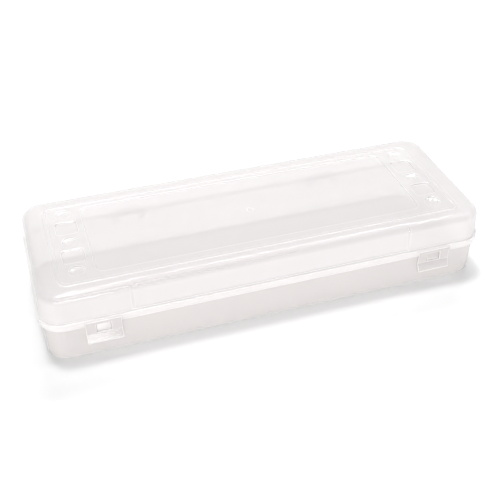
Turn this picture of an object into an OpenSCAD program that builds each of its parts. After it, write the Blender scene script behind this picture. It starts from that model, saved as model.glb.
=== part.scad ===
// Stackable pencil case, long enough for a ruler: a shallow tray and a matching lid
// with thin walls. The lid turns on two pins at the back, and two flexing latches at
// the front snap over wedges on the tray.
// X runs along the case, +Y points to its back and +Z is up. The origin is the centre
// of the plane that the feet stand on.

/* [Case] */
// Length over the lid's rim band
case_l = 340; // [330:1:356]
// Depth over the lid's rim band, front to back
case_w = 125.5; // [120:0.5:140]
// Height of the lid's flat top
lid_top_z = 57; // [54:1:66]
// Wall thickness of both mouldings
wall = 1.6; // [1.2:0.1:1.9]
// Plan radius of the rim band's corners
corner_r = 18; // [15:0.5:22]

/* [Lid] */
// Height of the rim band's lower edge
band_z = 29.6; // [28.5:0.1:30.5]
// Height of the rim band itself
band_h = 5.6; // [5:0.1:6]
// How far the wall above the band stands back from it
band_step = 1.3; // [0.8:0.1:1.4]
// Radius of the lid's top edge
lid_fillet = 5.8; // [3.5:0.1:7]
// Length of the sunk panel in the lid's top
panel_l = 249; // [200:1:250]
// Width of the sunk panel in the lid's top
panel_w = 81.6; // [60:0.2:83]
// Depth of the sunk panel
panel_depth = 0.8; // [0.4:0.1:1]
// How far the panel and the pockets lie behind the case's middle
relief_y = 1.7; // [0:0.1:2]
// Height of the stacking rim on the lid's top
rim_h = 0.7; // [0.4:0.1:0.8]
// Length of the sunk field in the lid's front wall
front_field_l = 213; // [150:1:216]

/* [Pockets in the lid's ends] */
// Distance of the pockets from the case's middle
pocket_x = 137.4; // [136:0.2:139]
// Spacing of the three round pockets
round_pitch = 35.2; // [34.8:0.2:36]
// Diameter of a round pocket
round_d = 11.6; // [9:0.2:12]
// Side of a square pocket
square_side = 16; // [14:0.2:16.4]
// Depth of every pocket
pocket_depth = 1; // [0.5:0.1:1]

/* [Tray] */
// Radius of the tray's bottom edge
tray_fillet = 2.4; // [2:0.1:5]
// How far each tray wall leans in from its rim to its foot
tray_draft = 0.9; // [0.3:0.1:1.2]
// Diameter of a foot
foot_d = 10.6; // [8:0.2:11]
// Height of a foot
foot_h = 0.8; // [0.8:0.1:1.2]

/* [Latches] */
// Distance of each latch from the case's middle
latch_x = 127; // [122:0.5:132]
// Width of a latch
latch_w = 25.4; // [22:0.2:30]
// Lowest point of a latch
latch_low_z = 15.6; // [12:0.1:18]
// Width of the window in a latch
window_w = 10.8; // [10:0.1:14]

/* [Hinges] */
// Distance of each hinge from the case's middle
hinge_x = 85; // [50:1:120]
// Length of a hinge with both its ears
hinge_l = 27; // [22:1:34]
// Diameter of a hinge pin
pin_d = 2; // [1.6:0.1:2.2]

/* [Hidden] */
$fn = 64;

// Cuts run this far past the faces that they open.
past = 1;

// Tints of the clear plastic and of the metal pins
frosted = [0.93, 0.92, 0.95, 0.55];
frosted_latch = [0.90, 0.90, 0.94, 0.7];
steel = [0.72, 0.73, 0.75];

// Plan: every wall is set out by its distance inside the band's outer face.
half_l = case_l / 2;
half_w = case_w / 2;
core_l = case_l - 2 * corner_r;
core_w = case_w - 2 * corner_r;

// Lid: its band slips over the tray's rim with a small gap.
band_top_z = band_z + band_h;
band_wall = 1.7;
ledge_t = 0.8;
ledge_z = band_top_z - ledge_t;
lid_lean = 1.1;
lid_ceiling_z = lid_top_z - wall;
panel_corner_r = 6;
square_corner_r = 2.8;

// The front wall's sunk field starts a little above the band and ends on the rounded top
// edge.
field_depth = 0.7;
field_foot = 0.8;

// Tray
rim_gap = 0.3;
tray_in = band_wall + rim_gap;
tray_rim_z = ledge_z - 0.1;
floor_z = foot_h;

// Stacking rim and the feet that nest inside it
rim_l = 306;
rim_w = 98.4;
rim_width = 3;
rim_corner_r = 8;
foot_gap = 0.3;
foot_x = rim_l / 2 - rim_width - foot_d / 2 - foot_gap;
foot_y = rim_w / 2 - rim_width - foot_d / 2 - foot_gap;

// Latch: its root is a round that turns in the band, just under the band's top edge.
latch_t = 1.6;
latch_y = -half_w + latch_t / 2;
latch_root_z = band_top_z - 2.6;
latch_root_gap = 0.08;
latch_side_gap = 0.25;
latch_lip_h = 0.6;
latch_bend_z = 23;
window_low_z = 23.2;
window_top_z = 30;

// Catch: a wedge with its flat side down, inside the latch's window
catch_w = window_w - 1.4;
catch_low_z = window_low_z + 0.4;
catch_top_z = 28.4;
catch_edge_h = 1.2;
catch_reach = 1.7;

// Hinge: the pin stands clear of the tray's back wall by the barrel's radius.
barrel_r = 2.1;
barrel_gap = 0.3;
hinge_end_gap = 0.3;
hinge_y = half_w - tray_in + barrel_gap + barrel_r;
hinge_z = band_z + 0.5;
ear_l = 5.5;
ear_gap = 0.2;
knuckle_l = hinge_l - 2 * (ear_l + ear_gap);
pin_bore_gap = 0.05;

// The ears' web reaches down the tray's wall, and narrows to just under the barrel.
web_drop = 6.5;
web_top_drop = 3;
web_in = 0.3;

// The knuckle's leaf narrows upwards to the top of the band.
leaf_top_t = 1.3;
leaf_in = 0.05;

// The latches' lips reach as far forward as the hinges reach back.
latch_lip_y = -(hinge_y + barrel_r);

// How far the tray's and the lid's outer walls lie inside the band's face at height z
function tray_wall_in(z) = tray_in + tray_draft * (tray_rim_z - z) / (tray_rim_z - floor_z);
function lid_wall_in(z) = band_step + lid_lean * (z - band_top_z) / (lid_top_z - band_top_z);

// Sweeps a wall section round the plan of the case. The section's own X is measured
// outwards from the corner centres, and its Y is the height.
module swept_round_plan() {
    for (i = [0 : 3]) {
        side_x = (i == 0 || i == 3) ? 1 : -1;
        side_y = (i < 2) ? 1 : -1;
        translate([side_x * core_l / 2, side_y * core_w / 2, 0])
            rotate(90 * i)
                rotate_extrude(angle = 90)
                    children();
    }
    for (turn = [0, 180]) {
        rotate(turn)
            translate([0, core_w / 2, 0])
                rotate([90, 0, 90])
                    linear_extrude(core_l, center = true)
                        children();
        rotate(turn)
            translate([core_l / 2, 0, 0])
                rotate([90, 0, 0])
                    linear_extrude(core_w, center = true)
                        children();
    }
}

// Extrudes a section drawn in Y and Z along X, centred on the plane x = 0.
module along_x(length) {
    rotate([90, 0, 90])
        linear_extrude(length, center = true)
            children();
}

// Flat plate with rounded corners, resting on z = 0
module round_plate(l, w, r, h) {
    linear_extrude(h) {
        square([l - 2 * r, w], center = true);
        square([l, w - 2 * r], center = true);
        for (sx = [-1, 1], sy = [-1, 1])
            translate([sx * (l / 2 - r), sy * (w / 2 - r)])
                circle(r);
    }
}

// Quarter-round trimming piece: what a sharp corner at the origin loses to a fillet.
// The corner's two edges run towards -X and along the sign of up.
module corner_loss(r, up) {
    difference() {
        translate([-r, up > 0 ? -past : -r])
            square([r + past, r + past]);
        translate([-r, up * r])
            circle(r);
    }
}

// Section of the tray's outside, filled to the corner centres
module tray_outer_section() {
    foot_u = corner_r - tray_wall_in(floor_z);
    rim_u = corner_r - tray_wall_in(tray_rim_z);
    difference() {
        polygon([[0, floor_z], [foot_u, floor_z], [rim_u, tray_rim_z], [0, tray_rim_z]]);
        translate([foot_u, floor_z])
            corner_loss(tray_fillet, 1);
    }
}

// Section of the space inside the tray
module tray_inner_section() {
    inner_z = floor_z + wall;
    foot_u = corner_r - tray_wall_in(floor_z) - wall;
    rim_u = corner_r - tray_wall_in(tray_rim_z) - wall;
    difference() {
        polygon([
            [-past, inner_z], [foot_u, inner_z], [rim_u, tray_rim_z],
            [rim_u, tray_rim_z + past], [-past, tray_rim_z + past]
        ]);
        translate([foot_u, inner_z])
            corner_loss(tray_fillet - wall, 1);
    }
}

module base_tray() {
    color(frosted) {
        swept_round_plan()
            difference() {
                tray_outer_section();
                tray_inner_section();
            }
        translate([0, 0, floor_z + wall / 2])
            cube([core_l, core_w, wall], center = true);
    }
}

module base_feet() {
    color(frosted)
        for (sx = [-1, 1], sy = [-1, 1])
            translate([sx * foot_x, sy * foot_y, 0])
                cylinder(d = foot_d, h = foot_h);
}

// Wedge on the tray's front wall: it slopes at the top and is flat underneath.
module latch_catch(x) {
    wall_low_y = -half_w + tray_wall_in(catch_low_z);
    wall_top_y = -half_w + tray_wall_in(catch_top_z);
    tip_y = wall_low_y - catch_reach;
    color(frosted)
        translate([x, 0, 0])
            along_x(catch_w)
                polygon([
                    [wall_low_y, catch_low_z], [tip_y, catch_low_z],
                    [tip_y, catch_low_z + catch_edge_h], [wall_top_y, catch_top_z]
                ]);
}

module catch_left() {
    latch_catch(-latch_x);
}

module catch_right() {
    latch_catch(latch_x);
}

// Barrel on a web that stands off the tray's back wall, drilled for the pin
module ear_section() {
    web_low_z = hinge_z - web_drop;
    web_y = hinge_y - web_in;
    difference() {
        union() {
            translate([hinge_y, hinge_z])
                circle(barrel_r);
            polygon([
                [half_w - tray_wall_in(web_low_z), web_low_z], [web_y, hinge_z - web_top_drop],
                [web_y, hinge_z], [half_w - tray_wall_in(hinge_z), hinge_z]
            ]);
        }
        translate([hinge_y, hinge_z])
            circle(d = pin_d);
    }
}

module hinge_ears(x) {
    color(frosted)
        for (side = [-1, 1])
            translate([x + side * (hinge_l - ear_l) / 2, 0, 0])
                along_x(ear_l)
                    ear_section();
}

module hinge_ears_left() {
    hinge_ears(-hinge_x);
}

module hinge_ears_right() {
    hinge_ears(hinge_x);
}

module hinge_pin(x) {
    color(steel)
        translate([x, hinge_y, hinge_z])
            rotate([0, 90, 0])
                cylinder(d = pin_d, h = hinge_l, center = true);
}

module hinge_pin_left() {
    hinge_pin(-hinge_x);
}

module hinge_pin_right() {
    hinge_pin(hinge_x);
}

// Section of the lid's outside, filled to the corner centres
module lid_outer_section() {
    top_u = corner_r - lid_wall_in(lid_top_z);
    difference() {
        polygon([
            [0, band_z], [corner_r, band_z], [corner_r, band_top_z],
            [corner_r - band_step, band_top_z], [top_u, lid_top_z], [0, lid_top_z]
        ]);
        translate([top_u, lid_top_z])
            corner_loss(lid_fillet, -1);
    }
}

// Section of the space inside the lid: a socket for the tray's rim, then the ledge that
// rests on it, then the wall
module lid_inner_section() {
    ledge_u = corner_r - lid_wall_in(ledge_z) - wall;
    ceiling_u = corner_r - lid_wall_in(lid_top_z) - wall;
    difference() {
        union() {
            translate([-past, band_z - past])
                square([corner_r - band_wall + past, ledge_z - band_z + past]);
            polygon([
                [-past, band_z], [ledge_u, band_z], [ledge_u, ledge_z],
                [ceiling_u, lid_ceiling_z], [-past, lid_ceiling_z]
            ]);
        }
        translate([ceiling_u, lid_ceiling_z])
            corner_loss(lid_fillet - wall, -1);
    }
}

// Places its children at both ends of the lid, once for each given row of pockets. Whole
// rows hold the round pockets, and the square ones lie halfway between them.
module at_pockets(rows) {
    for (side = [-1, 1], row = rows)
        translate([side * pocket_x, row * round_pitch, 0])
            children();
}

// Panel and pockets as solids, down from a plane at top_z and a little above it: grow 0 is
// the space itself, and a larger grow is the skin that carries it underneath.
module top_relief(grow, top_z, above) {
    square_l = square_side + 2 * grow;
    translate([0, relief_y, top_z - panel_depth])
        round_plate(panel_l + 2 * grow, panel_w + 2 * grow, panel_corner_r + grow,
                    panel_depth + above);
    translate([0, relief_y, top_z - pocket_depth]) {
        at_pockets([-1, 0, 1])
            cylinder(d = round_d + 2 * grow, h = pocket_depth + above);
        at_pockets([-0.5, 0.5])
            round_plate(square_l, square_l, square_corner_r + grow, pocket_depth + above);
    }
}

// Shallow field sunk into the lid's front wall between the latches: what lies outside the
// same wall moved inwards by the field's depth
module front_field() {
    top_y = -half_w + lid_wall_in(lid_top_z) + lid_fillet;
    low_z = band_top_z + field_foot;
    along_x(front_field_l)
        difference() {
            translate([-half_w - past, low_z])
                square([top_y + half_w + past, lid_top_z + past - low_z]);
            translate([-half_w + corner_r + field_depth, 0])
                mirror([1, 0])
                    lid_outer_section();
        }
}

// Room in the band for one latch and for its round root
module latch_notch(x) {
    notch_w = latch_w + 2 * latch_side_gap;
    root_r = latch_t / 2 + latch_root_gap;
    translate([x, 0, 0]) {
        translate([-notch_w / 2, -half_w - past, band_z - past])
            cube([notch_w, band_wall + past, latch_root_z - band_z + past]);
        translate([0, latch_y, latch_root_z])
            rotate([0, 90, 0])
                cylinder(r = root_r, h = notch_w, center = true);
    }
}

// Room in the band for one hinge's barrel and ears as the lid turns
module hinge_notch(x) {
    translate([x, hinge_y, hinge_z])
        rotate([0, 90, 0])
            cylinder(r = barrel_r + barrel_gap, h = hinge_l + 2 * hinge_end_gap, center = true);
}

module lid_shell() {
    color(frosted)
        difference() {
            union() {
                swept_round_plan()
                    difference() {
                        lid_outer_section();
                        lid_inner_section();
                    }
                translate([0, 0, lid_ceiling_z + wall / 2])
                    cube([core_l, core_w, wall], center = true);
                top_relief(wall, lid_ceiling_z, wall / 2);
            }
            top_relief(0, lid_top_z, past);
            front_field();
            for (side = [-1, 1]) {
                latch_notch(side * latch_x);
                hinge_notch(side * hinge_x);
            }
        }
}

// Low rim that the feet of the case above nest in
module stacking_rim() {
    color(frosted)
        translate([0, 0, lid_top_z])
            difference() {
                round_plate(rim_l, rim_w, rim_corner_r, rim_h);
                translate([0, 0, -past])
                    round_plate(rim_l - 2 * rim_width, rim_w - 2 * rim_width,
                                rim_corner_r - rim_width, rim_h + 2 * past);
            }
}

// Barrel between the ears, on a leaf that lies against the band's back face
module lid_knuckle(x) {
    color(frosted)
        translate([x, 0, 0])
            along_x(knuckle_l)
                difference() {
                    union() {
                        translate([hinge_y, hinge_z])
                            circle(barrel_r);
                        polygon([
                            [half_w, hinge_z], [hinge_y + barrel_r - leaf_in, hinge_z],
                            [half_w + leaf_top_t, band_top_z], [half_w, band_top_z]
                        ]);
                    }
                    translate([hinge_y, hinge_z])
                        circle(d = pin_d + 2 * pin_bore_gap);
                }
}

module lid_knuckle_left() {
    lid_knuckle(-hinge_x);
}

module lid_knuckle_right() {
    lid_knuckle(hinge_x);
}

// Latch: a flap with a window for the catch and a thumb lip that leans out below it
module latch(x) {
    outer_y = -half_w;
    inner_y = -half_w + latch_t;
    color(frosted_latch)
        translate([x, 0, 0])
            difference() {
                along_x(latch_w) {
                    translate([latch_y, latch_root_z])
                        circle(d = latch_t);
                    polygon([
                        [outer_y, latch_root_z], [outer_y, latch_bend_z],
                        [latch_lip_y, latch_low_z + latch_lip_h], [latch_lip_y, latch_low_z],
                        [latch_lip_y + latch_t, latch_low_z], [inner_y, latch_bend_z],
                        [inner_y, latch_root_z]
                    ]);
                }
                translate([-window_w / 2, outer_y - past, window_low_z])
                    cube([window_w, latch_t + 2 * past, window_top_z - window_low_z]);
            }
}

module latch_left() {
    latch(-latch_x);
}

module latch_right() {
    latch(latch_x);
}

base_tray();
base_feet();
catch_left();
catch_right();
hinge_ears_left();
hinge_ears_right();
hinge_pin_left();
hinge_pin_right();
lid_shell();
stacking_rim();
lid_knuckle_left();
lid_knuckle_right();
latch_left();
latch_right();
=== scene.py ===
"""Looks of the pencil case: two thin frosted mouldings with rounded edges, two latches and a
pair of pin hinges, on a pale floor in soft studio light.

Shapes are worked out in millimetres from the boxes of the CAD nodes, and built in metres.
"""

import math

import bmesh
import bpy
from mathutils import Matrix, Vector


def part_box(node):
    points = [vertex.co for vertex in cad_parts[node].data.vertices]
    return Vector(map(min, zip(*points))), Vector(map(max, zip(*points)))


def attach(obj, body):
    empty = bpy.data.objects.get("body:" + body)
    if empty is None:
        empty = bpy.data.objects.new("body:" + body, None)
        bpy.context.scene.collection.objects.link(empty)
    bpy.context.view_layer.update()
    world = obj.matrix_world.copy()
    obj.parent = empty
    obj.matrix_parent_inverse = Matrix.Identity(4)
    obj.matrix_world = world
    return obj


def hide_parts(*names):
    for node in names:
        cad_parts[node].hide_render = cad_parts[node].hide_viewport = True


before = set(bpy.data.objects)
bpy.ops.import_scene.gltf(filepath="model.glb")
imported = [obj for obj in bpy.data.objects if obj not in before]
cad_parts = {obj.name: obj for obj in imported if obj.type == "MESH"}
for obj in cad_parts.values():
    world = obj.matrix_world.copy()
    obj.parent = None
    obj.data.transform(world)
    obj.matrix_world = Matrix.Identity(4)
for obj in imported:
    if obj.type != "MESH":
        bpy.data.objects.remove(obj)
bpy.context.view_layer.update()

MM = 0.001


def box_mm(node):
    """Lowest and highest corner of a CAD node, in millimetres."""
    low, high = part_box(node)
    return low / MM, high / MM


# ---------------------------------------------------------------- driving sizes, millimetres

LID_LOW, LID_HIGH = box_mm("lid_shell")
TRAY_LOW, TRAY_HIGH = box_mm("base_tray")
PIN_LOW, PIN_HIGH = box_mm("hinge_pin_left")
RIM_HIGH = box_mm("stacking_rim")[1]
FEET_HIGH = box_mm("base_feet")[1]

SIDES = ("left", "right")

# The plan of the case, and both mouldings' walls
HALF_L = LID_HIGH.x
HALF_W = LID_HIGH.y
LENGTH = 2 * HALF_L * MM
CORNER_R = 18.0
WALL = 1.6

# The lid: its band, the ledge that rests on the tray, and the wall above
BAND_Z = LID_LOW.z
BAND_TOP_Z = BAND_Z + 5.6
BAND_WALL = 1.7
BAND_STEP = 1.3
LEDGE_Z = BAND_TOP_Z - 0.8
LID_TOP_Z = LID_HIGH.z
CEILING_Z = LID_TOP_Z - WALL
LID_LEAN = 1.1
LID_FILLET = 5.8

# The tray and its feet
TRAY_IN = HALF_L - TRAY_HIGH.x
TRAY_DRAFT = 0.9
TRAY_FILLET = 2.4
FLOOR_Z = TRAY_LOW.z
TRAY_RIM_Z = TRAY_HIGH.z
FOOT_R = 5.3

# The sunk panel in the lid's top
RELIEF_Y = 1.7
PANEL_HALF_L = 124.5
PANEL_HALF_W = 40.8
PANEL_R = 6.0
PANEL_DEPTH = 0.8

# The pockets in the lid's ends
POCKET_X = 137.4
POCKET_PITCH = 35.2
ROUND_R = 5.8
SQUARE_HALF = 8.0
SQUARE_R = 2.8
POCKET_DEPTH = 1.0

# The stacking rim
RIM_R = 8.0
RIM_WIDTH = 3.0

# The field sunk into the lid's front wall, with a ramp at each end
FIELD_HALF_L = 106.5
FIELD_DEPTH = 0.7
FIELD_LOW_Z = BAND_TOP_Z + 0.8
FIELD_RISE = 0.6
FIELD_RAMP_L = 3.2
FIELD_STEPS = 8

# The latches, with their room in the band, and the wedges in their windows
LATCH_T = 1.6
LATCH_BEND_Z = 23.0
LATCH_LIP_H = 0.9
LATCH_SIDE_GAP = 0.25
LATCH_BACK_GAP = 0.06
LATCH_ROOT_GAP = 0.08
WINDOW_LOW_Z = 23.2
WINDOW_TOP_Z = 30.0
WINDOW_HALF_W = 5.4
CATCH_EDGE_H = 1.2

# The hinges: pins, barrels, the ears' webs and the knuckles' leaves
PIN_R = (PIN_HIGH.z - PIN_LOW.z) / 2
PIN_Y = (PIN_LOW.y + PIN_HIGH.y) / 2
PIN_Z = (PIN_LOW.z + PIN_HIGH.z) / 2
PIN_CHAMFER = 0.3
PIN_GAP = 0.05
PRESS_GAP = 0.01
BARREL_R = box_mm("lid_knuckle_left")[1].y - PIN_Y
BARREL_GAP = 0.3
EAR_L = 5.5
EAR_WEB_DROP = 3.0
EAR_WEB_IN = 0.3
LEAF_TOP_T = 1.3
LEAF_ROOT_H = 2.0

# Small pieces are rooted this far inside the moulding that carries them.
EAR_ROOT = 0.1
LEAF_ROOT = 0.4
CATCH_ROOT = 0.5

# Points along a quarter of the plan's corner, along a small rounded edge, and round a bore
ARC_STEPS = 12
EDGE_STEPS = 4
BORE_STEPS = 28

# The wall's sections run on this far over the flat of the lid and of the tray's floor.
LID_RUN_ON = 1.0
TRAY_RUN_ON = 2.0

# Bends in radians per millimetre: up to the broad one a face counts as flat and gets no painted
# highlight, and from the tight one on it is an edge and gets the full painted highlight.
BROAD_BEND = 0.15
TIGHT_BEND = 0.7
SHARPEST_STEP = math.radians(40)
BEVELLED_ANGLE = math.radians(35)
# Inner creases are painted with this share of the edges' painted highlight.
CREASE_HIGHLIGHT_SHARE = 0.4


def lid_wall_in(z):
    """How far the lid's outer wall stands inside the band's face at height z."""
    return BAND_STEP + LID_LEAN * (z - BAND_TOP_Z) / (LID_TOP_Z - BAND_TOP_Z)


def tray_wall_in(z):
    """How far the tray's outer wall stands inside the band's face at height z."""
    return TRAY_IN + TRAY_DRAFT * (TRAY_RIM_Z - z) / (TRAY_RIM_Z - FLOOR_Z)


def smooth(t):
    """Eased step from 0 to 1."""
    t = min(1.0, max(0.0, t))
    return t * t * (3 - 2 * t)


# ---------------------------------------------------------------- outlines and sections

def rounded_corner(before, corner, after, steps):
    """Points of the arc that rounds one corner (a, b, radius) between its neighbours."""
    point = Vector(corner[:2])
    radius = corner[2]
    if radius == 0:
        return [point]
    to_before = (Vector(before[:2]) - point).normalized()
    to_after = (Vector(after[:2]) - point).normalized()
    half = to_before.angle(to_after) / 2
    centre = point + (to_before + to_after).normalized() * (radius / math.sin(half))
    start = point + to_before * (radius / math.tan(half)) - centre
    end = point + to_after * (radius / math.tan(half)) - centre
    sweep = math.pi - 2 * half
    points = []
    for i in range(steps + 1):
        t = i / steps
        points.append(centre + (start * math.sin((1 - t) * sweep) + end * math.sin(t * sweep))
                      / math.sin(sweep))
    return points


def open_section(corners, steps=EDGE_STEPS):
    """An open line through (a, b, radius) corners, each inner one rounded."""
    points = [Vector(corners[0][:2])]
    for before, corner, after in zip(corners, corners[1:], corners[2:]):
        points += rounded_corner(before, corner, after, steps)
    points.append(Vector(corners[-1][:2]))
    return points


def arc(cx, cy, radius, start_deg, end_deg, steps):
    """Points of an arc in a plane."""
    points = []
    for i in range(steps + 1):
        a = math.radians(start_deg + (end_deg - start_deg) * i / steps)
        points.append((cx + radius * math.cos(a), cy + radius * math.sin(a)))
    return points


def field_ramp():
    """Places (x, share of the full depth) along the right-hand step of the front field."""
    shares = [i / FIELD_STEPS for i in range(FIELD_STEPS + 1)]
    return [(FIELD_HALF_L - FIELD_RAMP_L * share, smooth(share)) for share in shares]


def case_loop(inset, z, sunk=0.0):
    """Rounded rectangle round the case, inset from the band's face. The front side is sunk
    between the ends of the field."""
    r = CORNER_R - inset
    cx = HALF_L - CORNER_R
    cy = HALF_W - CORNER_R
    ramp = field_ramp()
    front_y = -cy - r
    loop = arc(-cx, -cy, r, 180, 270, ARC_STEPS)
    loop += [(-x, front_y + share * sunk) for x, share in ramp]
    loop += [(x, front_y + share * sunk) for x, share in reversed(ramp)]
    loop += arc(cx, -cy, r, 270, 360, ARC_STEPS)
    loop += arc(cx, cy, r, 0, 90, ARC_STEPS)
    loop += [(x, cy + r) for x, share in ramp]
    loop += [(-x, cy + r) for x, share in reversed(ramp)]
    loop += arc(-cx, cy, r, 90, 180, ARC_STEPS)
    return [(x, y, z) for x, y in loop]


def plate_loop(cx, cy, half_l, half_w, r, z, steps=ARC_STEPS):
    """Rounded rectangle about (cx, cy)."""
    ex, ey = half_l - r, half_w - r
    loop = arc(cx - ex, cy - ey, r, 180, 270, steps)
    loop += arc(cx + ex, cy - ey, r, 270, 360, steps)
    loop += arc(cx + ex, cy + ey, r, 0, 90, steps)
    loop += arc(cx - ex, cy + ey, r, 90, 180, steps)
    return [(x, y, z) for x, y in loop]


def disc_loop(cx, cy, r, z, count=40):
    """Circle about (cx, cy)."""
    loop = []
    for i in range(count):
        a = 2 * math.pi * i / count
        loop.append((cx + r * math.cos(a), cy + r * math.sin(a), z))
    return loop


# ---------------------------------------------------------------- meshes

class Skin:
    """A mesh grown from closed loops of points in millimetres."""

    def __init__(self):
        self.bm = bmesh.new()

    def loop(self, points):
        return [self.bm.verts.new(Vector(p) * MM) for p in points]

    def loops(self, outlines):
        """Joins a run of outlines with equal counts, and gives back its first and last loop."""
        rings = [self.loop(points) for points in outlines]
        for a, b in zip(rings, rings[1:]):
            self.join(a, b)
        return rings[0], rings[-1]

    def join(self, a, b):
        """Faces between two loops with equal counts."""
        count = len(a)
        for i in range(count):
            j = (i + 1) % count
            self.bm.faces.new((a[i], a[j], b[j], b[i]))

    def cap(self, ring):
        self.bm.faces.new(ring)

    def fill(self, rings):
        """Flat faces between an outer loop and the loops of its holes."""
        edges = []
        for ring in rings:
            for i, vert in enumerate(ring):
                other = ring[(i + 1) % len(ring)]
                edges.append(self.bm.edges.get((vert, other)) or self.bm.edges.new((vert, other)))
        bmesh.ops.triangle_fill(self.bm, use_beauty=True, edges=edges)

    def piece(self, name):
        """The finished object, with every face turned outwards."""
        bmesh.ops.recalc_face_normals(self.bm, faces=self.bm.faces)
        mesh = bpy.data.meshes.new(name)
        self.bm.to_mesh(mesh)
        self.bm.free()
        obj = bpy.data.objects.new(name, mesh)
        bpy.context.scene.collection.objects.link(obj)
        return obj


def bake_modifiers(obj):
    """Applies an object's modifiers to its mesh."""
    graph = bpy.context.evaluated_depsgraph_get()
    mesh = bpy.data.meshes.new_from_object(obj.evaluated_get(graph))
    obj.modifiers.clear()
    old = obj.data
    obj.data = mesh
    bpy.data.meshes.remove(old)


def carve(obj, cutters):
    """Cuts closed meshes out of an object, and removes them."""
    for cutter in cutters:
        cut = obj.modifiers.new("cut", "BOOLEAN")
        cut.operation = "DIFFERENCE"
        cut.solver = "EXACT"
        cut.object = cutter
    bake_modifiers(obj)
    for cutter in cutters:
        mesh = cutter.data
        bpy.data.objects.remove(cutter)
        bpy.data.meshes.remove(mesh)


def soften(obj, width=0.0):
    """Rounds sharp edges by width millimetres, and shades the piece smooth."""
    if width > 0:
        bevel = obj.modifiers.new("edges", "BEVEL")
        bevel.width = width * MM
        bevel.segments = 3
        bevel.limit_method = "ANGLE"
        bevel.angle_limit = BEVELLED_ANGLE
        bevel.use_clamp_overlap = True
        bake_modifiers(obj)
    for polygon in obj.data.polygons:
        polygon.use_smooth = True
    normals = obj.modifiers.new("normals", "WEIGHTED_NORMAL")
    normals.keep_sharp = True
    normals.weight = 50
    bake_modifiers(obj)
    mark_painted_highlights(obj)


def mark_painted_highlights(obj):
    """Stores how tightly each face bends: 0 where it is flat or broad, 1 along a rounded outer edge,
    and less along an inner crease. The plastic is painted whiter there, a painted highlight along the
    edges and a fainter one along the creases. Sharp corners don't count: they lie between flat faces."""
    bm = bmesh.new()
    bm.from_mesh(obj.data)
    values = []
    for face in bm.faces:
        area = face.calc_area()
        bend = 0.0
        for edge in face.edges:
            angle = edge.calc_face_angle_signed(0.0)
            turn = angle * edge.calc_length() / max(area, 1e-12)
            if abs(angle) < SHARPEST_STEP and abs(turn) > abs(bend):
                bend = turn
        tight = smooth((abs(bend) * MM - BROAD_BEND) / (TIGHT_BEND - BROAD_BEND))
        values.append(tight if bend > 0 else CREASE_HIGHLIGHT_SHARE * tight)
    bm.free()
    # The painted highlight mask, which the plastic's shader reads as 'edge'.
    edge = obj.data.attributes.new("edge", "FLOAT", "FACE")
    edge.data.foreach_set("value", values)


def prism(name, outline, x_low, x_high, hole=None):
    """A section of (y, z) points carried along X, with an optional hole through it."""
    skin = Skin()
    ends = []
    for x in (x_low, x_high):
        ends.append([skin.loop([(x, y, z) for y, z in line]) for line in (outline, hole) if line])
    for low_ring, high_ring in zip(*ends):
        skin.join(low_ring, high_ring)
    for rings in ends:
        if len(rings) == 1:
            skin.cap(rings[0])
        else:
            skin.fill(rings)
    return skin.piece(name)


def circle_section(y, z, r, count=40):
    return [(p[0], p[1]) for p in disc_loop(y, z, r, 0, count)]


# ---------------------------------------------------------------- the lid

def sink_at(z):
    """Depth of the front field at height z: it eases in a little above the band, and runs up
    over the rounded top edge."""
    return FIELD_DEPTH * smooth((z - FIELD_LOW_Z) / FIELD_RISE)


def lid_section():
    """Inset and height of the lid's wall: from the ceiling down inside to the band's foot, and
    from there up outside to the top."""
    plane_in = lid_wall_in(LID_TOP_Z) + LID_FILLET + LID_RUN_ON
    foot = (BAND_WALL / 2, BAND_Z, 0)
    inside = open_section([
        (plane_in, CEILING_Z, 0),
        (lid_wall_in(LID_TOP_Z) + WALL, CEILING_Z, LID_FILLET - WALL),
        (lid_wall_in(LEDGE_Z) + WALL, LEDGE_Z, 0.25),
        (BAND_WALL, LEDGE_Z, 0.2),
        (BAND_WALL, BAND_Z, 0.4),
        foot,
    ], steps=8)
    rise = [(lid_wall_in(z), z, 0) for z in (FIELD_LOW_Z + FIELD_RISE * i / 4 for i in range(5))]
    outside = open_section(
        [foot, (0, BAND_Z, 0.5), (0, BAND_TOP_Z, 0.5), (BAND_STEP, BAND_TOP_Z, 0.75)]
        + rise
        + [(lid_wall_in(LID_TOP_Z), LID_TOP_Z, LID_FILLET), (plane_in, LID_TOP_Z, 0)],
        steps=8,
    )
    return inside, outside[1:]


def pocket_spots():
    """Centres of the round and of the square pockets."""
    def spots(rows):
        return [(s * POCKET_X, RELIEF_Y + row * POCKET_PITCH) for s in (-1, 1) for row in rows]

    return spots((-1, 0, 1)), spots((-0.5, 0.5))


def pocket_rings(skin, plane_z, grow):
    """Sinks the ten pockets into a plane, and gives back the loops on the plane. The round ones
    are dishes, and the square ones are trays."""
    rounds, squares = pocket_spots()
    bottom = plane_z - POCKET_DEPTH
    r = ROUND_R + grow
    dish = open_section([
        (r + 0.5, plane_z, 0), (r, plane_z, 0.5), (r - 1.0, plane_z - 0.65 * POCKET_DEPTH, 1.5),
        (r - 2.8, bottom, 3.0), (0.6, bottom, 0)
    ])
    shallow_tray = open_section([
        (0.5, plane_z, 0), (0, plane_z, 0.3), (-0.4, bottom, 0.3), (-1.4, bottom, 0)
    ])
    rings = []
    for cx, cy in rounds:
        first, last = skin.loops([disc_loop(cx, cy, a, z) for a, z in dish])
        skin.cap(last)
        rings.append(first)
    half = SQUARE_HALF + grow
    for cx, cy in squares:
        first, last = skin.loops([
            plate_loop(cx, cy, half + g, half + g, SQUARE_R + grow + g, z, 6)
            for g, z in shallow_tray
        ])
        skin.cap(last)
        rings.append(first)
    return rings


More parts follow.
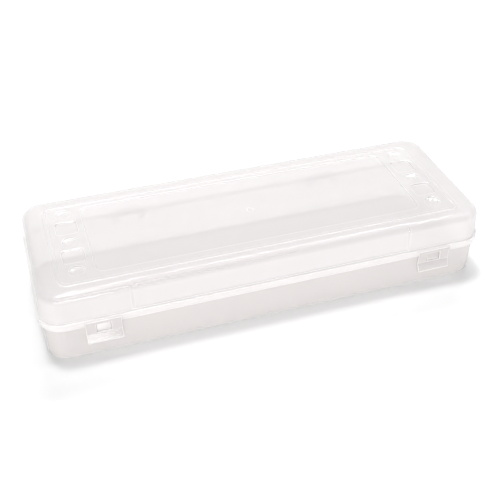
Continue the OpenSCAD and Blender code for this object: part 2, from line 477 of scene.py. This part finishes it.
def panel_ring(skin, plane_z, grow):
    """Sinks the long panel into a plane, and gives back its loop on the plane and at its foot."""
    bottom = plane_z - PANEL_DEPTH
    section = open_section([
        (0.6, plane_z, 0), (0, plane_z, 0.35), (-0.35, bottom, 0.35), (-1.4, bottom, 0)
    ])
    half_l = PANEL_HALF_L + grow
    half_w = PANEL_HALF_W + grow
    return skin.loops([
        plate_loop(0, RELIEF_Y, half_l + g, half_w + g, PANEL_R + grow + g, z) for g, z in section
    ])


def rim_rings(skin):
    """The stacking rim, with its outer and inner loop on the lid's top."""
    section = open_section([
        (0.8, LID_TOP_Z, 0), (0, LID_TOP_Z, 0.3), (-0.1, RIM_HIGH.z, 0.35),
        (-RIM_WIDTH + 0.1, RIM_HIGH.z, 0.35), (-RIM_WIDTH, LID_TOP_Z, 0.3),
        (-RIM_WIDTH - 0.8, LID_TOP_Z, 0)
    ])
    return skin.loops([
        plate_loop(0, 0, RIM_HIGH.x + g, RIM_HIGH.y + g, RIM_R + g, z) for g, z in section
    ])


def gate_mark(skin, z, depth):
    """Small round vestige at the middle of the lid, and its loop on the panel."""
    section = open_section([(3.6, z, 0), (3.0, z, 1.0), (2.2, z - depth, 1.0), (1.2, z - depth, 0)])
    first, last = skin.loops([disc_loop(0, 0, a, h, 24) for a, h in section])
    skin.cap(last)
    return first


def build_lid():
    skin = Skin()
    inside, outside = lid_section()
    loops = [case_loop(inset, z) for inset, z in inside]
    loops += [case_loop(inset, z, sink_at(z)) for inset, z in outside[:-1]]
    loops.append(case_loop(*outside[-1]))
    ceiling, top = skin.loops(loops)

    rim_outer, rim_inner = rim_rings(skin)
    panel_edge, panel_foot = panel_ring(skin, LID_TOP_Z, 0)
    skin.fill([top, rim_outer])
    skin.fill([rim_inner, panel_edge] + pocket_rings(skin, LID_TOP_Z, 0))
    skin.fill([panel_foot, gate_mark(skin, LID_TOP_Z - PANEL_DEPTH, 0.2)])

    pad_edge, pad_foot = panel_ring(skin, CEILING_Z, WALL)
    skin.fill([ceiling, pad_edge] + pocket_rings(skin, CEILING_Z, WALL))
    skin.cap(pad_foot)

    lid = skin.piece("lid")
    carve(lid, latch_cutters() + hinge_cutters())
    soften(lid)
    return lid


def latch_cutters():
    """Room in the band for each latch and its round root."""
    outer_y = -HALF_W - 3
    inner_y = -HALF_W + BAND_WALL + LATCH_BACK_GAP
    low_z = BAND_Z - 3
    cutters = []
    for side in SIDES:
        low, high = box_mm(f"latch_{side}")
        root_z = high.z - LATCH_T / 2
        outline = arc(-HALF_W + LATCH_T / 2, root_z, LATCH_T / 2 + LATCH_ROOT_GAP, 0, 180, 16)
        outline += [(outer_y, root_z), (outer_y, low_z), (inner_y, low_z)]
        cutters.append(prism("latch_room", outline, low.x - LATCH_SIDE_GAP, high.x + LATCH_SIDE_GAP))
    return cutters


def hinge_cutters():
    """Room in the band for each hinge's barrel."""
    outline = circle_section(PIN_Y, PIN_Z, BARREL_R + BARREL_GAP)
    cutters = []
    for side in SIDES:
        low, high = box_mm(f"hinge_pin_{side}")
        cutters.append(prism("hinge_room", outline, low.x - BARREL_GAP, high.x + BARREL_GAP))
    return cutters


# ---------------------------------------------------------------- the tray

def tray_section():
    """Inset and height of the tray's wall, from the floor up inside and down outside."""
    plane_in = tray_wall_in(FLOOR_Z) + TRAY_FILLET + TRAY_RUN_ON
    inner_z = FLOOR_Z + WALL
    return open_section([
        (plane_in, inner_z, 0),
        (tray_wall_in(FLOOR_Z) + WALL, inner_z, TRAY_FILLET - WALL),
        (tray_wall_in(TRAY_RIM_Z) + WALL, TRAY_RIM_Z, 0.5),
        (tray_wall_in(TRAY_RIM_Z), TRAY_RIM_Z, 0.45),
        (tray_wall_in(FLOOR_Z), FLOOR_Z, TRAY_FILLET),
        (plane_in, FLOOR_Z, 0),
    ], steps=6)


def foot_ring(skin, cx, cy):
    """One foot under the tray with a dimple in its middle, and its loop on the underside."""
    section = open_section([
        (FOOT_R + 0.6, FLOOR_Z, 0), (FOOT_R, FLOOR_Z, 0.25), (FOOT_R - 0.1, 0, 0.3),
        (FOOT_R - 2.0, 0, 0.3), (FOOT_R - 2.4, 0.4, 0.2), (1.0, 0.5, 0)
    ])
    first, last = skin.loops([disc_loop(cx, cy, a, z, 32) for a, z in section])
    skin.cap(last)
    return first


def build_tray():
    skin = Skin()
    floor, underside = skin.loops([case_loop(inset, z) for inset, z in tray_section()])
    skin.cap(floor)
    foot_x = FEET_HIGH.x - FOOT_R
    foot_y = FEET_HIGH.y - FOOT_R
    feet = [foot_ring(skin, sx * foot_x, sy * foot_y) for sx in (-1, 1) for sy in (-1, 1)]
    skin.fill([underside] + feet)
    tray = skin.piece("tray")
    soften(tray)
    return tray


# ---------------------------------------------------------------- latches and catches

def latch_section(low, high):
    """Front and back lines of the latch, from its lip up to its round root."""
    outer_y = -HALF_W
    inner_y = outer_y + LATCH_T
    root_z = high.z - LATCH_T / 2
    lip_y = low.y
    front = open_section([
        (lip_y + LATCH_T / 2, low.z, 0), (lip_y, low.z, 0.5), (lip_y, low.z + LATCH_LIP_H, 0.4),
        (outer_y, LATCH_BEND_Z - 0.4, 1.2), (outer_y, WINDOW_LOW_Z, 0)
    ])
    back = open_section([
        (inner_y, WINDOW_LOW_Z, 0), (inner_y, LATCH_BEND_Z - 0.4, 1.2),
        (lip_y + LATCH_T, low.z, 0.4), (lip_y + LATCH_T / 2 + 0.1, low.z, 0)
    ])
    root = arc(outer_y + LATCH_T / 2, root_z, LATCH_T / 2, 180, 0, 10)
    return front, root, back


def build_latch(side):
    """A flap with a window: the section is carried along X over four stations, and the faces
    between the window's corners are left out."""
    low, high = box_mm(f"latch_{side}")
    middle = (low.x + high.x) / 2
    front, root, back = latch_section(low, high)
    outline = [tuple(p) for p in front] + [(-HALF_W, WINDOW_TOP_Z)] + root
    outline += [(-HALF_W + LATCH_T, WINDOW_TOP_Z)] + [tuple(p) for p in back]
    front_low = len(front) - 1
    front_top = front_low + 1
    back_top = front_top + len(root) + 1
    back_low = back_top + 1

    skin = Skin()
    stations = [low.x, middle - WINDOW_HALF_W, middle + WINDOW_HALF_W, high.x]
    rings = [skin.loop([(x, y, z) for y, z in outline]) for x in stations]
    count = len(outline)
    for a, b in zip(rings, rings[1:]):
        for i in range(count):
            in_window = a is rings[1] and i in (front_low, back_top)
            if not in_window:
                j = (i + 1) % count
                skin.bm.faces.new((a[i], a[j], b[j], b[i]))
    skin.cap(rings[0])
    skin.cap(rings[-1])
    a, b = rings[1], rings[2]
    skin.bm.faces.new((a[front_low], b[front_low], b[back_low], a[back_low]))
    skin.bm.faces.new((a[front_top], b[front_top], b[back_top], a[back_top]))
    for ring in (a, b):
        skin.bm.faces.new((ring[front_low], ring[front_top], ring[back_top], ring[back_low]))
    latch = skin.piece(f"latch_{side}_flap")
    soften(latch, 0.3)
    return latch


def build_catch(side):
    """The wedge inside a latch's window, rooted a little way into the tray's wall."""
    low, high = box_mm(f"catch_{side}")
    root_y = high.y + CATCH_ROOT
    outline = [
        (root_y, low.z), (low.y, low.z), (low.y, low.z + CATCH_EDGE_H), (high.y, high.z),
        (root_y, high.z)
    ]
    catch = prism(f"catch_{side}_wedge", outline, low.x, high.x)
    soften(catch, 0.25)
    return catch


# ---------------------------------------------------------------- hinges

def barrel_with_web(web, start_deg, end_deg):
    """Outline of a barrel from one angle round to another, closed by a web's points."""
    return arc(PIN_Y, PIN_Z, BARREL_R, start_deg, end_deg, BORE_STEPS) + web


def build_ears(side):
    """Both ears of one hinge, rooted a little way into the tray's back wall."""
    low, high = box_mm(f"hinge_ears_{side}")
    root_y = low.y - EAR_ROOT
    web = [(root_y, PIN_Z), (root_y, low.z), (PIN_Y - EAR_WEB_IN, PIN_Z - EAR_WEB_DROP)]
    outline = barrel_with_web(web, -98, 180)
    hole = circle_section(PIN_Y, PIN_Z, PIN_R, BORE_STEPS)
    ears = [prism("ear", outline, x, x + EAR_L, hole) for x in (low.x, high.x - EAR_L)]
    merged = merge(ears, f"hinge_ears_{side}_pair")
    soften(merged, 0.2)
    return merged


def build_knuckle(side):
    """The lid's knuckle, its leaf rooted a little way into the band's back face."""
    low, high = box_mm(f"lid_knuckle_{side}")
    root_y = HALF_W - LEAF_ROOT
    leaf = [
        (HALF_W + LEAF_TOP_T, BAND_TOP_Z), (root_y, BAND_TOP_Z), (root_y, BAND_TOP_Z - LEAF_ROOT_H)
    ]
    outline = barrel_with_web(leaf, -232, 12)
    hole = circle_section(PIN_Y, PIN_Z, PIN_R + PIN_GAP, BORE_STEPS)
    knuckle = prism(f"lid_knuckle_{side}_barrel", outline, low.x, high.x, hole)
    soften(knuckle, 0.2)
    return knuckle


def build_pin(side):
    """A pin with chamfered ends."""
    low, high = box_mm(f"hinge_pin_{side}")
    skin = Skin()
    section = [
        (low.x, PIN_R - PIN_CHAMFER), (low.x + PIN_CHAMFER, PIN_R - PRESS_GAP),
        (high.x - PIN_CHAMFER, PIN_R - PRESS_GAP), (high.x, PIN_R - PIN_CHAMFER)
    ]
    first, last = skin.loops([
        [(x, y, z) for y, z in circle_section(PIN_Y, PIN_Z, r, BORE_STEPS)] for x, r in section
    ])
    skin.cap(first)
    skin.cap(last)
    pin = skin.piece(f"hinge_pin_{side}_rod")
    soften(pin)
    return pin


def merge(objects, name):
    """One object out of several."""
    bm = bmesh.new()
    for obj in objects:
        bm.from_mesh(obj.data)
        mesh = obj.data
        bpy.data.objects.remove(obj)
        bpy.data.meshes.remove(mesh)
    mesh = bpy.data.meshes.new(name)
    bm.to_mesh(mesh)
    bm.free()
    merged = bpy.data.objects.new(name, mesh)
    bpy.context.scene.collection.objects.link(merged)
    return merged


# ---------------------------------------------------------------- materials

# Places of the mix node's two inputs and its output, for numbers and for colours
NUMBER_SOCKETS = (2, 3, 0)
COLOUR_SOCKETS = (6, 7, 2)

# Painted highlight for rounded edges and creases: a near-white colour, with a denser alpha.
PAINTED_HIGHLIGHT_WHITE = (0.98, 0.97, 0.97, 1)
EDGE_ALPHA = 0.56
GRAZING_ALPHA = 0.8


class Recipe:
    """A node material round a Principled shader."""

    def __init__(self, name):
        self.material = bpy.data.materials.new(name)
        self.material.use_nodes = True
        self.tree = self.material.node_tree
        self.shader = self.tree.nodes["Principled BSDF"]

    def add(self, kind, links=None, **values):
        """A node with its inputs linked or set, or with its properties set."""
        node = self.tree.nodes.new(kind)
        for key, value in values.items():
            if key in node.inputs:
                node.inputs[key].default_value = value
            else:
                setattr(node, key, value)
        for key, source in (links or {}).items():
            self.tree.links.new(source, node.inputs[key])
        return node

    def place(self):
        """The point on the piece, in metres."""
        return self.add("ShaderNodeTexCoord").outputs["Object"]

    def noise(self, **values):
        """Noise from 0 to 1 over the piece."""
        return self.add("ShaderNodeTexNoise", {"Vector": self.place()}, **values).outputs["Fac"]

    def spread(self, value, low, high):
        """A value from 0 to 1, carried over to a range."""
        node = self.add("ShaderNodeMapRange", {"Value": value})
        node.inputs["To Min"].default_value = low
        node.inputs["To Max"].default_value = high
        return node.outputs["Result"]

    def blend(self, kind, sockets, factor, ends):
        """A mix of two ends, each a fixed one or another node's."""
        node = self.add("ShaderNodeMix", data_type=kind)
        self.tree.links.new(factor, node.inputs["Factor"])
        for place, end in zip(sockets, ends):
            if isinstance(end, bpy.types.NodeSocket):
                self.tree.links.new(end, node.inputs[place])
            else:
                node.inputs[place].default_value = end
        return node.outputs[sockets[2]]

    def blend_colours(self, factor, *ends):
        return self.blend("RGBA", COLOUR_SOCKETS, factor, ends)

    def blend_numbers(self, factor, *ends):
        return self.blend("FLOAT", NUMBER_SOCKETS, factor, ends)

    def feed(self, key, source):
        """Links a node's output to an input of the shader."""
        self.tree.links.new(source, self.shader.inputs[key])

    def fix(self, key, value):
        """Sets an input of the shader."""
        self.shader.inputs[key].default_value = value


def frosted_plastic(name, body_alpha, warm, cool):
    """Clear polypropylene with a milky body. It lets through much of what is behind it where it is seen
    squarely, and is denser where it is seen along the wall. Along its rounded edges and creases it is
    denser and painted whiter, a painted highlight."""
    recipe = Recipe(name)
    edge = recipe.add("ShaderNodeAttribute", attribute_name="edge").outputs["Fac"]

    body = recipe.blend_colours(recipe.noise(Scale=16.0, Detail=3.0), warm, cool)
    # Painted highlight: the base colour goes near-white where the 'edge' mask is up.
    recipe.feed("Base Color", recipe.blend_colours(edge, body, PAINTED_HIGHLIGHT_WHITE))
    recipe.feed("Roughness", recipe.spread(recipe.noise(Scale=60.0, Detail=2.0), 0.06, 0.12))

    facing = recipe.add("ShaderNodeLayerWeight", Blend=0.3).outputs["Facing"]
    along = recipe.spread(facing, body_alpha, GRAZING_ALPHA)
    recipe.feed("Alpha", recipe.blend_numbers(edge, along, EDGE_ALPHA))
    recipe.fix("IOR", 1.49)
    recipe.fix("Specular IOR Level", 0.9)
    return recipe.material


def steel():
    """Drawn wire: fine marks round the pin."""
    recipe = Recipe("pin_steel")
    marks = recipe.noise(Scale=2500.0, Detail=2.0)
    recipe.feed("Roughness", recipe.spread(marks, 0.22, 0.4))
    recipe.feed("Base Color", recipe.blend_colours(marks, (0.55, 0.56, 0.58, 1), (0.72, 0.73, 0.75, 1)))
    recipe.fix("Metallic", 1.0)
    return recipe.material


def paper_floor():
    """Plain white floor."""
    recipe = Recipe("floor_white")
    fleck = recipe.noise(Scale=3.0)
    recipe.feed("Base Color", recipe.blend_colours(fleck, (0.90, 0.90, 0.90, 1), (0.92, 0.92, 0.92, 1)))
    recipe.fix("Roughness", 0.9)
    recipe.fix("Specular IOR Level", 0.1)
    return recipe.material


# ---------------------------------------------------------------- the pieces

def dress(piece, body, slot, material, *nodes):
    """Gives a piece its body, its material and the CAD nodes that it stands for. The slot is not used.
    """
    piece.data.materials.clear()
    piece.data.materials.append(material)
    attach(piece, body)
    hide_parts(*nodes)


# One plastic in four tints: the lid is painted lighter and the tray and latches darker, painted light
# and shade that set each moulding's lit tone, and the catches are painted lighter and denser against
# the shade in the latch windows.
tray_plastic = frosted_plastic(
    "tray_plastic", 0.30, warm=(0.78, 0.74, 0.73, 1), cool=(0.78, 0.755, 0.745, 1))
lid_plastic = frosted_plastic(
    "lid_plastic", 0.27, warm=(0.94, 0.90, 0.905, 1), cool=(0.94, 0.915, 0.92, 1))
latch_plastic = frosted_plastic(
    "latch_plastic", 0.30, warm=(0.74, 0.70, 0.695, 1), cool=(0.74, 0.715, 0.71, 1))
catch_plastic = frosted_plastic(
    "catch_plastic", 0.45, warm=(0.80, 0.76, 0.755, 1), cool=(0.80, 0.775, 0.77, 1))
pin_steel = steel()

dress(build_tray(), "base", "tray_plastic", tray_plastic, "base_tray", "base_feet")
dress(build_lid(), "lid", "lid_plastic", lid_plastic, "lid_shell", "stacking_rim")
for side in SIDES:
    dress(build_catch(side), "base", "tray_plastic", catch_plastic, f"catch_{side}")
    dress(build_ears(side), "base", "tray_plastic", tray_plastic, f"hinge_ears_{side}")
    dress(build_pin(side), "base", "pin_steel", pin_steel, f"hinge_pin_{side}")
    dress(build_knuckle(side), "lid", "lid_plastic", lid_plastic, f"lid_knuckle_{side}")
    dress(build_latch(side), f"latch_{side}", "latch_plastic", latch_plastic, f"latch_{side}")


# ---------------------------------------------------------------- floor, light and camera

def build_floor():
    skin = Skin()
    skin.cap(skin.loop(plate_loop(0, 0, 4000, 4000, 400, 0)))
    floor = skin.piece("floor")
    floor.data.materials.append(paper_floor())


def soft_box(name, direction, distance, width, depth, strength):
    """A flat light in a direction from the case. Distance, width and depth are in case lengths,
    and strength is the brightness that it gives to a white card turned to it."""
    reach = distance * LENGTH
    data = bpy.data.lights.new(name, "AREA")
    data.shape = "RECTANGLE"
    data.size = width * LENGTH
    data.size_y = depth * LENGTH
    data.energy = strength * (math.pi * reach) ** 2
    lamp = bpy.data.objects.new(name, data)
    away = Vector(direction).normalized()
    lamp.location = away * reach
    lamp.rotation_euler = away.to_track_quat("Z", "Y").to_euler()
    bpy.context.scene.collection.objects.link(lamp)


def white_world(strength):
    world = bpy.data.worlds.new("studio")
    world.use_nodes = True
    background = world.node_tree.nodes["Background"]
    background.inputs["Color"].default_value = (1, 1, 1, 1)
    background.inputs["Strength"].default_value = strength
    bpy.context.scene.world = world


def build_camera():
    """A camera in front, left and above, nearly two case lengths away."""
    azimuth = math.radians(-17.75)
    elevation = math.radians(37.68)
    roll = math.radians(-0.30)
    distance = 1.916 * LENGTH
    target = Vector((-0.0141, -0.0400, 0)) * LENGTH
    target.z = LID_TOP_Z * MM / 2
    back = Vector((
        math.sin(azimuth) * math.cos(elevation),
        -math.cos(azimuth) * math.cos(elevation),
        math.sin(elevation),
    ))
    data = bpy.data.cameras.new("camera")
    data.lens = 60.82
    data.sensor_width = 36.0
    camera = bpy.data.objects.new("camera", data)
    turn = (-back).to_track_quat("-Z", "Y") @ Matrix.Rotation(roll, 4, "Z").to_quaternion()
    camera.rotation_euler = turn.to_euler()
    camera.location = target + back * distance
    bpy.context.scene.collection.objects.link(camera)
    bpy.context.scene.camera = camera


build_floor()
white_world(0.13)
soft_box("key", (-0.09, 0.17, 1.0), 9, 1.7, 1.7, 0.46)
soft_box("front", (-0.32, -0.93, 0.16), 8, 6.0, 3.0, 0.77)
soft_box("front_top", (-0.20, -0.60, 0.78), 8, 5.0, 3.0, 0.24)
soft_box("back_strip", (0.23, 0.57, 0.79), 8, 5.0, 0.9, 0.44)
soft_box("right_spot", (0.53, -0.07, 0.85), 8, 0.3, 0.3, 0.06)
build_camera()
bpy.context.scene.view_settings.view_transform = "Standard"
bpy.context.scene.cycles.transparent_max_bounces = 32
